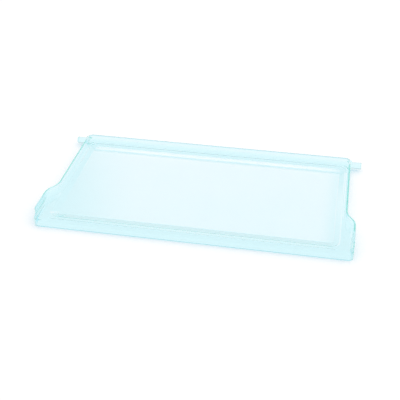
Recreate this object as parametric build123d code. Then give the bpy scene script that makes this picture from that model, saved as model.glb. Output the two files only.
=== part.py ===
"""Freezer shelf: one clear moulding that hangs on two pivot pins at its back corners.

A shallow tray of even thickness: the floor turns up through a rounded bend into a rim along the
sides and the back. In front the sides step out into ears. There the rim stops short of the corner,
the floor rolls over into a lip that hangs down, and a tapering cheek under each ear ties the lip to
the side of the tray. The middle of the floor is sunk, with sloping borders, to hold melt water.

Millimetres. X is the width, Y points from the front to the back, Z is up. The origin is level with
the foot of the lip, in the middle of the width and the depth.
"""
import math
import os

from build123d import *

# Plan of the moulding
ear_width = 420.0
side_step = 11.5
depth = 217.0
front_corner_radius = 6.0
back_corner_radius = 9.0
ear_length = 47.0
shoulder_length = 32.0

# Section of the moulding
rim_height = 23.5
floor_top = 12.6
floor_thickness = 2.4
wall = 2.4
foot_radius = 3.0
crest_radius = 1.8

# Front edge
front_roll_radius = 5.5
roll_end_land = 10.0
rim_end_setback = 8.5
rim_end_radius = 2.5
rim_end_foot_radius = 2.0

# Cheeks that tie the lip to the sides
cheek_setback = 4.0
cheek_length = 48.0

# Sunk middle of the floor
recess_depth = 2.6
recess_side_slope = 8.0
recess_front_slope = 11.0
recess_back_slope = 3.0
recess_margin = 7.0
recess_front_margin = 9.5
recess_corner_radius = 12.0
recess_inner_corner_radius = 5.0
recess_crease_radius = 4.0

# Pivot pins
pin_diameter = 10.0
pin_reach = 15.5
pin_setback = 7.5
pin_height = 15.5
pin_tip_chamfer = 0.8
collar_diameter = 14.0
collar_reach = 1.5
collar_edge_radius = 0.6

# Cutters run this far past the faces that they open
cut_past = 5.0

# Places that follow from the driving dimensions
ear_half = ear_width / 2
back_half = ear_half - side_step
front_y = -depth / 2
back_y = depth / 2
floor_underside = floor_top - floor_thickness
base_radius = foot_radius + floor_thickness


def s_bend(start, heading, rise, run):
    """Two equal arcs that shift a line to its left by rise over a length run, tangent throughout."""
    angle = math.degrees(2 * math.atan2(rise, run))
    radius = run / (2 * math.sin(math.radians(angle)))
    first = JernArc(start, heading, radius, angle)
    return JernArc(first @ 1, first % 1, radius, -angle)


def plan_outline():
    """Outside of the wall seen from above: ears in front, narrower behind, all corners round."""
    with BuildSketch() as sketch:
        with BuildLine():
            front = Line((0, front_y), (ear_half - front_corner_radius, front_y))
            front_corner = JernArc(front @ 1, (1, 0), front_corner_radius, 90)
            ear_side = Line(front_corner @ 1, (ear_half, front_y + ear_length))
            shoulder = s_bend(ear_side @ 1, (0, 1), side_step, shoulder_length)
            side = Line(shoulder @ 1, (back_half, back_y - back_corner_radius))
            back_corner = JernArc(side @ 1, (0, 1), back_corner_radius, 90)
            Line(back_corner @ 1, (0, back_y))
            mirror(about=Plane.YZ)
        make_face()
    return sketch.sketch


def pocket(inside, from_z, height, floor_z):
    """Hollow with the plan of the wall's inner face and a rounded foot where it meets the floor."""
    block = extrude(Pos(0, 0, from_z) * inside, height)
    foot = block.edges().filter_by_position(Axis.Z, floor_z, floor_z)
    return fillet(foot, foot_radius)


def side_view_cutter(sketch):
    """Cutter with a profile drawn on the middle plane, carried past both sides of the moulding."""
    return extrude(sketch, ear_half + cut_past, both=True)


def front_opening():
    """Cutter that takes the rim off along the front and leaves a rounded end on each side."""
    end_y = front_y + rim_end_setback
    above_rim = rim_height + cut_past
    with BuildSketch(Plane.YZ) as sketch:
        with BuildLine():
            sill = Line((front_y - cut_past, floor_top), (end_y - rim_end_foot_radius, floor_top))
            foot = JernArc(sill @ 1, (1, 0), rim_end_foot_radius, 90)
            upright = Line(foot @ 1, (end_y, rim_height - rim_end_radius))
            top = JernArc(upright @ 1, (0, 1), rim_end_radius, -90)
            Polyline(top @ 1, ((top @ 1).X, above_rim), (front_y - cut_past, above_rim), sill @ 0)
        make_face()
    return side_view_cutter(sketch.sketch)


def front_roll():
    """Cutter that rounds the front edge over, and turns out of the front face before each corner."""
    turn_y = front_y - cut_past
    turn_radius = cut_past + front_roll_radius
    runout = math.sqrt(turn_radius**2 - cut_past**2)
    roll_half = ear_half - front_corner_radius - roll_end_land - runout
    with BuildSketch(Plane.YZ.offset(-roll_half)) as sketch:
        with BuildLine():
            low = (front_y, floor_top - front_roll_radius)
            high = (front_y + front_roll_radius, floor_top)
            RadiusArc(low, high, front_roll_radius)
            Polyline(high, (turn_y, floor_top), (turn_y, low[1]), low)
        make_face()
    corner = sketch.sketch
    left_end = revolve(corner, Axis((-roll_half, turn_y, 0), (0, 0, 1)), 90)
    return extrude(corner, 2 * roll_half) + left_end + mirror(left_end, about=Plane.YZ)


def open_base(outline):
    """Cutter that clears the underside behind the lip, and leaves the cheeks and the rounded bend."""
    tray_outside = extrude(Pos(0, 0, floor_underside) * outline, rim_height)
    bend = tray_outside.edges().filter_by_position(Axis.Z, floor_underside, floor_underside)
    tray_outside = fillet(bend, base_radius)
    cheek_y = front_y + cheek_setback
    bend_top = floor_underside + base_radius
    with BuildSketch(Plane.YZ) as sketch:
        with BuildLine():
            Polyline(
                (cheek_y, 0),
                (cheek_y + cheek_length, bend_top),
                (back_y + cut_past, bend_top),
                (back_y + cut_past, -cut_past),
                (cheek_y, -cut_past),
                (cheek_y, 0),
            )
        make_face()
    return side_view_cutter(sketch.sketch) - tray_outside


def recess():
    """Sunk panel with sloping borders, as the hollow that it leaves in the floor."""
    width = 2 * (back_half - recess_margin)
    length = depth - recess_front_margin - recess_margin
    bottom_width = width - 2 * recess_side_slope
    bottom_length = length - recess_front_slope - recess_back_slope
    middle_y = (recess_front_margin - recess_margin) / 2
    bottom_y = middle_y + (recess_front_slope - recess_back_slope) / 2
    bottom_z = floor_top - recess_depth
    brim = Pos(0, middle_y, floor_top) * RectangleRounded(width, length, recess_corner_radius)
    bottom = RectangleRounded(bottom_width, bottom_length, recess_inner_corner_radius)
    hollow = loft([brim, Pos(0, bottom_y, bottom_z) * bottom])
    crease = hollow.edges().filter_by_position(Axis.Z, bottom_z, bottom_z)
    return fillet(crease, recess_crease_radius)


def brim_edges(body, hollow):
    """Edges of the floor, above and below, along the brim of the sunk panel."""
    touch = 0.01
    brim = hollow.edges().filter_by_position(Axis.Z, floor_top, floor_top)
    found = []
    for level in (floor_top, floor_underside):
        for edge in body.edges().filter_by_position(Axis.Z, level, level):
            middle = edge @ 0.5
            if min(line.distance_to(Vector(middle.X, middle.Y, floor_top)) for line in brim) < touch:
                found.append(edge)
    return found


def pin(side):
    """Pivot pin and its collar, on the left (-1) or right (1), long enough to root in the corner."""
    collar_end = back_corner_radius + collar_reach
    tip_end = back_corner_radius + pin_reach
    stand = (Align.CENTER, Align.CENTER, Align.MIN)
    collar = Cylinder(collar_diameter / 2, collar_end, align=stand)
    rod = Cylinder(pin_diameter / 2, tip_end, align=stand)
    rod = chamfer(rod.edges().sort_by(Axis.Z)[-1], pin_tip_chamfer)
    stepped = collar + rod
    shoulder = stepped.edges().filter_by_position(Axis.Z, collar_end, collar_end)
    stepped = fillet(shoulder, collar_edge_radius)
    root_x = back_half - back_corner_radius
    along = Plane((side * root_x, back_y - pin_setback, pin_height), z_dir=(side, 0, 0))
    return along * stepped


def crest_edges(body, border):
    """Outer upper edges of the wall: those that lie on the plan border and are not below the floor."""
    touch = 0.01
    found = []
    for edge in body.edges():
        points = [edge @ share for share in (0, 0.25, 0.5, 0.75, 1)]
        high = min(point.Z for point in points) > floor_top - touch
        on_border = all(border.distance_to(Vector(point.X, point.Y, 0)) < touch for point in points)
        if high and on_border:
            found.append(edge)
    return found


def shelf():
    outline = plan_outline()
    inside = offset(outline, -wall)
    tray = pocket(inside, floor_top, rim_height - floor_top + cut_past, floor_top)
    underside = pocket(inside, -cut_past, floor_underside + cut_past, floor_underside)
    body = extrude(outline, rim_height) - tray - underside - front_opening()
    body = fillet(crest_edges(body, outline.face().outer_wire()), crest_radius)
    body = body - front_roll() - open_base(outline)
    for side in (-1, 1):
        body = body + (pin(side) - tray - underside)
    hollow = recess()
    body = body + Pos(0, 0, -floor_thickness) * hollow - hollow
    return fillet(brim_edges(body, hollow), recess_crease_radius)


os.makedirs("parts", exist_ok=True)
freezer_shelf = shelf()
export_step(freezer_shelf, "parts/freezer_shelf.step")
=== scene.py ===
# %% [markdown]
# Freezer shelf in clear, faintly aqua plastic.
#
# The real shelf is a single moulding: a shallow tray with a rim on three sides, a sunk panel in its
# floor, a front edge that rolls over into a hanging lip, and a short pivot pin at each back corner.
# The solid comes from the CAD model with every radius in place, so this lesson changes no shape. It
# is about how the shelf lies, its finish, with some painted light and shade in its tint, the light and
# the camera.

# %% Load the moulding
import math

import bpy
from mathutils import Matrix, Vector


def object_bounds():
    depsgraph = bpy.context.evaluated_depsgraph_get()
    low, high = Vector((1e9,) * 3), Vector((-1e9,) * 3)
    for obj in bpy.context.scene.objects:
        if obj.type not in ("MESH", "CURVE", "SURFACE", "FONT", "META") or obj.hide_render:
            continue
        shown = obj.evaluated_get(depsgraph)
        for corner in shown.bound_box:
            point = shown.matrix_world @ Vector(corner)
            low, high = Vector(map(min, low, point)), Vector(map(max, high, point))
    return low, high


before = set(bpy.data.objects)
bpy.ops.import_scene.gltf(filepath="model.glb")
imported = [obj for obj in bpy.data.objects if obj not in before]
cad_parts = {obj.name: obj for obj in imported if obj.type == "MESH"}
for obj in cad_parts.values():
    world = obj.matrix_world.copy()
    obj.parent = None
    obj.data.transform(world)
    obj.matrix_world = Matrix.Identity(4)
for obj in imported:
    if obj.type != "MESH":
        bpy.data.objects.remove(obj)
cad_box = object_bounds()
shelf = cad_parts["freezer_shelf"]
print("shelf:", len(shelf.data.polygons), "faces")
print("box:", [tuple(round(c, 4) for c in corner) for corner in cad_box])

# %% [markdown]
# The finish and the table are placed on the shelf by measuring it, so that they follow if the CAD
# model changes. Its box gives the front, the back and the top. The pins stand out past the sides, so
# the width over the ears is measured on the front part of the mesh alone.

# %% Measure the moulding
points = [shelf.matrix_world @ vertex.co for vertex in shelf.data.vertices]
front = cad_box[0][1]
back = cad_box[1][1]
top = cad_box[1][2]
ear_half = max(point.x for point in points if point.y < 0)
print("front, back, top:", [round(c, 4) for c in (front, back, top)])
print("half the width over the ears:", round(ear_half, 4))

# %% [markdown]
# Node trees are easier to read as sums. A Wire holds one output socket of a node, and adding or
# multiplying wires adds the Math nodes that do it. Every other node comes from one method, which
# sets the node's own settings first and then feeds its sockets with numbers, colours or wires.


# %% Wires, for writing node trees as expressions
class Wire:
    """One output socket of a node, used in plain arithmetic."""

    def __init__(self, tree, socket):
        self.tree = tree
        self.socket = socket

    @classmethod
    def node(cls, tree, kind, settings=None, inputs=None, output=0):
        """Add a node, apply its settings, feed its sockets and return one of its outputs."""
        made = tree.nodes.new(kind)
        for name, value in (settings or {}).items():
            setattr(made, name, value)
        for name, value in (inputs or {}).items():
            if isinstance(value, Wire):
                tree.links.new(value.socket, made.inputs[name])
            else:
                made.inputs[name].default_value = value
        return cls(tree, made.outputs[output] if made.outputs else None)

    def other(self, output):
        """Another output of the node that this wire comes from."""
        return Wire(self.tree, self.socket.node.outputs[output])

    def math(self, operation, first, second):
        """Math node on two values, of which at least one is a wire."""
        return Wire.node(self.tree, "ShaderNodeMath", {"operation": operation}, {0: first, 1: second})

    def __add__(self, value):
        return self.math("ADD", self, value)

    def __radd__(self, value):
        return self.math("ADD", value, self)

    def __sub__(self, value):
        return self.math("SUBTRACT", self, value)

    def __rsub__(self, value):
        return self.math("SUBTRACT", value, self)

    def __mul__(self, value):
        return self.math("MULTIPLY", self, value)

    def __rmul__(self, value):
        return self.math("MULTIPLY", value, self)

    def __truediv__(self, value):
        return self.math("DIVIDE", self, value)

    def __rtruediv__(self, value):
        return self.math("DIVIDE", value, self)

    def at_least(self, value):
        """The larger of this wire and a value."""
        return self.math("MAXIMUM", self, value)

    def ramp(self, start, end):
        """Smooth step from 0 to 1 while this value goes from start to end."""
        settings = {"interpolation_type": "SMOOTHSTEP"}
        inputs = {"Value": self, "From Min": start, "From Max": end}
        return Wire.node(self.tree, "ShaderNodeMapRange", settings, inputs)

    def blend(self, first, second):
        """Colour from first to second, with this wire as the share of the second."""
        settings = {"data_type": "RGBA"}
        return Wire.node(self.tree, "ShaderNodeMix", settings, {0: self, 6: first, 7: second}, 2)

    def axes(self):
        """The three numbers of a vector, each as a wire."""
        x = Wire.node(self.tree, "ShaderNodeSeparateXYZ", {}, {"Vector": self}, "X")
        return x, x.other("Y"), x.other("Z")


def fresh_tree(owner):
    """Empty node tree of a material or a world."""
    owner.use_nodes = True
    owner.node_tree.nodes.clear()
    return owner.node_tree


print("wires ready")

# %% [markdown]
# The plastic is clear polystyrene with a little blue-green dye. Light that crosses the thin floor
# loses next to nothing in the dye. Light that is caught in a wall and runs along it, over a hand's
# width or more, loses part of its red, which is why the edges look deeper than the floor. A tinted
# surface alone can't do that, so some of the dye is in the volume, as absorption for each metre.

# %% Dye in the plastic
dye_density = 1.2
dye_colour = (0.0, 0.95, 0.8, 1.0)
for millimetres in (2.4, 20, 100, 300):
    left = [math.exp(-dye_density * (1 - c) * millimetres / 1000) for c in dye_colour[:3]]
    print("light left after", millimetres, "mm:", [round(c, 2) for c in left])

# %% [markdown]
# The rest of the colour is a tint of the surface. One tint would do for a plain block, but this shelf
# isn't even under the light: its rim looks paler than its floor, and the light that gathers in the
# crest of the back rim and in the sides of the ears comes out deeper. The moulding is one plastic, so
# these
# are painted light and shade: the rim gets a paler colour as painted light, and the crest and the ear
# sides get deeper colours as painted shade. Each of these places is a mask made from ramps along the
# axes of the shelf, so it stays where it is from any side. Squaring the distance from the middle makes
# left and right alike, so one mask serves both ears.

# %% Tints of the surface, with painted light and shade
floor_tint = (0.695, 0.95, 1.0, 1.0)
cloud_tint = (0.685, 0.947, 1.0, 1.0)
# The paler rim is painted light: the moulding is one plastic, and the rim only looks paler under the
# light.
rim_painted_light = (0.8, 0.955, 1.0, 1.0)
# The deeper crest and ear colours are painted shade, for the light that gathers in them and comes out
# deeper.
crest_painted_shade = (0.5, 0.76, 0.85, 1.0)
ear_painted_shade = (0.57, 0.88, 0.93, 1.0)

rim_rise = (top - 0.0115, top - 0.0035)
rim_start = (front + 0.0385, front + 0.0785)
crest_rise = (top - 0.002, top - 0.0005)
crest_start = (back - 0.0085, back - 0.0045)
ear_side = (ear_half - 0.00384, ear_half - 0.00119)
ear_end = (front + 0.0385, front + 0.0585)


def tint_with_painted_light_and_shade(place, haze):
    """Tint at a place on the shelf, haze as the cloudier share, plus painted light and shade."""
    x, y, z = place.axes()
    # The rim mask lays on painted light, and the crest and ear masks lay on painted shade, over the
    # floor tint.
    rim = z.ramp(*rim_rise) * y.ramp(*rim_start)
    crest = z.ramp(*crest_rise) * y.ramp(*crest_start)
    ear = (x * x).ramp(ear_side[0] ** 2, ear_side[1] ** 2) * (1 - y.ramp(*ear_end))
    colour = haze.blend(floor_tint, cloud_tint)
    for share, tint in ((rim, rim_painted_light), (crest, crest_painted_shade), (ear, ear_painted_shade)):
        colour = share.blend(colour, tint)
    return colour


# These print where the painted shade of the crest and of the ears begins.
print("crest tint from", [round(1000 * z, 1) for z in crest_rise], "mm up")
print("ear tint from", [round(1000 * x, 1) for x in ear_side], "mm out")

# %% [markdown]
# A moulded face is glossy but never perfect. The polish of the tool leaves a faint haze that varies
# over the part, and the plastic shrinks a little unevenly as it cools, so reflections waver. A scan
# could give both, but noise in object space is enough: a broad one for the waves, fed to a Bump node,
# and a cloudy one that moves the roughness and the tint a little.

# %% Clear moulded plastic
refraction = 1.58
polish_roughness = 0.01
haze_roughness = 0.015
haze_scale = 14.0
haze_detail = 4.0
haze_band = (0.35, 0.75)
wave_scale = 9.0
wave_detail = 1.0
wave_strength = 0.03
wave_depth = 0.002


def clear_plastic(name):
    """Clear dyed plastic, slightly hazy and wavy, whose tint holds painted light and shade."""
    material = bpy.data.materials.new(name)
    tree = fresh_tree(material)
    place = Wire.node(tree, "ShaderNodeTexCoord", output="Object")

    def noise(scale, detail):
        inputs = {"Vector": place, "Scale": scale, "Detail": detail}
        return Wire.node(tree, "ShaderNodeTexNoise", {}, inputs, "Fac")

    haze = noise(haze_scale, haze_detail).ramp(*haze_band)
    waves = noise(wave_scale, wave_detail)
    ripple = {"Strength": wave_strength, "Distance": wave_depth, "Height": waves}
    finish = {
        "Base Color": tint_with_painted_light_and_shade(place, haze),
        "Roughness": polish_roughness + haze_roughness * haze,
        "IOR": refraction,
        "Transmission Weight": 1.0,
        "Normal": Wire.node(tree, "ShaderNodeBump", {}, ripple, "Normal"),
    }
    surface = Wire.node(tree, "ShaderNodeBsdfPrincipled", {}, finish)
    dye = {"Color": dye_colour, "Density": dye_density}
    volume = Wire.node(tree, "ShaderNodeVolumeAbsorption", {}, dye)
    Wire.node(tree, "ShaderNodeOutputMaterial", {}, {"Surface": surface, "Volume": volume})
    return material


shelf.data.materials.clear()
shelf.data.materials.append(clear_plastic("clear_moulding"))
print("material:", shelf.data.materials[0].name)

# %% [markdown]
# On a table the shelf rests on the foot of its lip and on the back of its sunk panel, so it tips a
# little backwards. The moulding stays where its frame puts it, and the table leans instead. The
# lowest slope from the foot to any point well behind it is the slope at which the table touches both.

# %% Find how the shelf lies
foot_height = 0.0001
well_behind = 0.05
foot_y = max(point.y for point in points if point.z < foot_height)
table_slope = min(point.z / (point.y - foot_y) for point in points if point.y > foot_y + well_behind)
print("the table rises", round(math.degrees(math.atan(table_slope)), 2), "degrees towards the back")

# %% [markdown]
# The table is plain white paper, and a plain white material would give the shelf a grey shadow. The
# real shadow is cyan, because the light in it has come through the plastic. A renderer finds few of
# those paths, so here the paper itself helps: the camera sees red mostly as diffuse light, which the
# shadow takes away, and blue mostly as a glow of the paper's own, which stays. On the open table the
# two add up to white. Rays that come through the plastic, or off it, see an even and almost white
# glow, since paper under a clear shelf is lit from all sides.

# %% Paper of the table
seen_diffuse = (0.85, 0.5, 0.35, 1)
seen_glow = (0.22, 0.55, 0.7, 1)
under_diffuse = (0.1, 0.1, 0.1, 1)
under_glow = (0.935, 0.935, 0.935, 1)
plain_diffuse = (0.92, 0.92, 0.92, 1)


def white_paper(name):
    """Paper that looks different to the camera, to rays in the plastic, and to all other light."""
    material = bpy.data.materials.new(name)
    tree = fresh_tree(material)

    def diffuse(colour):
        return Wire.node(tree, "ShaderNodeBsdfDiffuse", {}, {"Color": colour})

    def glowing(colour, glow):
        light = Wire.node(tree, "ShaderNodeEmission", {}, {"Color": glow, "Strength": 1.0})
        return Wire.node(tree, "ShaderNodeAddShader", {}, {0: diffuse(colour), 1: light})

    def choose(share, first, second):
        return Wire.node(tree, "ShaderNodeMixShader", {}, {0: share, 1: first, 2: second})

    seen = Wire.node(tree, "ShaderNodeLightPath", output="Is Camera Ray")
    under = seen.other("Is Glossy Ray").at_least(seen.other("Is Transmission Ray"))
    outside = choose(seen, diffuse(plain_diffuse), glowing(seen_diffuse, seen_glow))
    both = choose(under, outside, glowing(under_diffuse, under_glow))
    Wire.node(tree, "ShaderNodeOutputMaterial", {}, {"Surface": both})
    return material


print("open table:", [round(seen_diffuse[c] + seen_glow[c], 2) for c in range(3)])

# %% [markdown]
# The table top is one flat face, far wider than the view, so that no edge or corner of it shows. It
# starts just under the foot of the lip and leans by the slope found above.

# %% White table
table_size = 20.0
table_gap = 0.0002


def white_table(rise_from, slope):
    """Square table that rises towards the back from a line under the foot of the lip."""
    half = table_size / 2
    mesh = bpy.data.meshes.new("table")
    corners = [(-half, -half, 0), (half, -half, 0), (half, half, 0), (-half, half, 0)]
    mesh.from_pydata(corners, [], [(0, 1, 2, 3)])
    mesh.materials.append(white_paper("table_white"))
    made = bpy.data.objects.new("table", mesh)
    bpy.context.collection.objects.link(made)
    made.location = (0, rise_from, -table_gap)
    made.rotation_euler.x = math.atan(slope)
    return made


table = white_table(foot_y, table_slope)
print("table:", tuple(round(c, 2) for c in table.dimensions))

# %% [markdown]
# The light is a white dome that surrounds everything, at the level where a colour renders about as
# it is written. For the table it is brighter overhead and towards the right, which makes the shadow
# soft and a little deeper on the left. Such a slope of light would draw streaks in every bend of the
# plastic, so rays that leave the plastic find one even level, with a slight dip at the horizon that
# keeps the edges readable on white.

# %% Levels of the dome
horizon_level = 0.6
zenith_level = 1.15
zenith_rise = (0.2, 0.9)
right_bias = 0.35
even_level = 0.87
horizon_dip = 0.15
dip_rise = (0.05, 0.4)


def dome_level(x, z, from_plastic):
    """Brightness of the dome in a direction, for rays from the plastic and for all others."""
    upward = horizon_level + (zenith_level - horizon_level) * z.ramp(*zenith_rise)
    soft = upward * (1 + right_bias * x)
    even = even_level - horizon_dip * (1 - z.ramp(*dip_rise))
    return soft * (1 - from_plastic) + even * from_plastic


print("dome: horizon", horizon_level, "zenith", zenith_level, "seen in the plastic", even_level)

# %% [markdown]
# Behind the shelf hangs one broad soft lamp. The glossy floor mirrors it, and its warm red makes up
# for the red that the tint takes away, so the middle of the floor turns almost white while its left
# side and its slopes stay deeper. An area lamp could do that too, but as a part of the dome it gets
# soft borders and a place in plain numbers, across and up, as shares of the distance straight back.
# Seen through the plastic it is weaker, but for a bright sill, which lights the foot of the back rim.

# %% Lamp behind the shelf
lamp_level = 1.17
lamp_colour = (1, 0.3, 0.25, 1)
lamp_left = (-0.44, -0.27)
lamp_right = (-0.01, 0.03)
lamp_foot = (0.5, 0.54)
lamp_top = (0.722, 0.733)
sill_top = (0.594, 0.606)
sill_share = 1.3
plastic_loss = 0.35
least_distance = 0.05


def lamp_glow(x, y, z, through_plastic):
    """Brightness of the lamp in a direction, which is 0 outside its borders."""
    distance = y.at_least(least_distance)
    across = x / distance
    up = z / distance
    column = across.ramp(*lamp_left) * (1 - across.ramp(*lamp_right)) * up.ramp(*lamp_foot)
    pane = column * (1 - up.ramp(*lamp_top))
    sill = column * (1 - up.ramp(*sill_top))
    return lamp_level * (pane + (sill_share * sill - plastic_loss * pane) * through_plastic)


lamp_angles = [round(math.degrees(math.atan(share))) for share in (lamp_foot[0], lamp_top[1])]
print("lamp: from", lamp_angles[0], "to", lamp_angles[1], "degrees up")

# %% [markdown]
# Dome and lamp are two Background shaders, added together, because each has its own colour. The camera
# sees neither: behind the table it finds plain white, as on a sheet of paper that never ends.


# %% Studio dome
def studio_dome(name):
    """World with the dome and its lamp, white where the camera looks straight at it."""
    world = bpy.data.worlds.new(name)
    tree = fresh_tree(world)
    x, y, z = Wire.node(tree, "ShaderNodeTexCoord", output="Generated").axes()
    seen = Wire.node(tree, "ShaderNodeLightPath", output="Is Camera Ray")
    unseen = 1 - seen
    through_plastic = seen.other("Is Transmission Ray")
    from_plastic = through_plastic.at_least(seen.other("Is Glossy Ray"))
    level = seen + dome_level(x, z, from_plastic) * unseen
    glow = lamp_glow(x, y, z, through_plastic) * unseen
    dome = Wire.node(tree, "ShaderNodeBackground", {}, {"Color": (1, 1, 1, 1), "Strength": level})
    lamp = Wire.node(tree, "ShaderNodeBackground", {}, {"Color": lamp_colour, "Strength": glow})
    sky = Wire.node(tree, "ShaderNodeAddShader", {}, {0: dome, 1: lamp})
    Wire.node(tree, "ShaderNodeOutputWorld", {}, {"Surface": sky})
    return world


bpy.context.scene.world = studio_dome("dome")
print("dome:", bpy.context.scene.world.name)

# %% [markdown]
# Light that is caught in a clear wall turns hundreds of times before it leaves. Blender's usual limit
# of a dozen turns ends those paths early, which makes the edges far too dark, and a weaker dye can't
# mend that. So the limit goes up, and the dye alone says how deep the edges are.

# %% Long paths of light
path_turns = 600
cycles = bpy.context.scene.cycles
cycles.max_bounces = path_turns
cycles.transmission_bounces = path_turns
cycles.glossy_bounces = path_turns
print("light may turn", cycles.max_bounces, "times")

# %% [markdown]
# The camera stands in front of the shelf, a little to its right, and looks down on it with a short
# telephoto lens. Its place and lens were worked out from the straight edges of the photograph, and
# its focal length follows from the size of a square picture.

# %% Camera
camera_place = Vector((0.1705, -0.9349, 0.6206))
look_left = math.radians(10.64)
look_down = math.radians(33.31)
lens_pixels = 810.6
image_pixels = 400
sensor_width = 36.0

ahead_x = -math.sin(look_left) * math.cos(look_down)
ahead_y = math.cos(look_left) * math.cos(look_down)
ahead_z = -math.sin(look_down)
lens = bpy.data.cameras.new("camera")
lens.sensor_width = sensor_width
lens.lens = lens_pixels / image_pixels * sensor_width
camera = bpy.data.objects.new("camera", lens)
bpy.context.collection.objects.link(camera)
camera.location = camera_place
camera.rotation_mode = "QUATERNION"
camera.rotation_quaternion = Vector((ahead_x, ahead_y, ahead_z)).to_track_quat("-Z", "Y")
bpy.context.scene.camera = camera
bpy.context.scene.view_settings.view_transform = "Standard"
print("camera:", tuple(round(c, 4) for c in camera_place), "lens", round(lens.lens, 2), "mm")
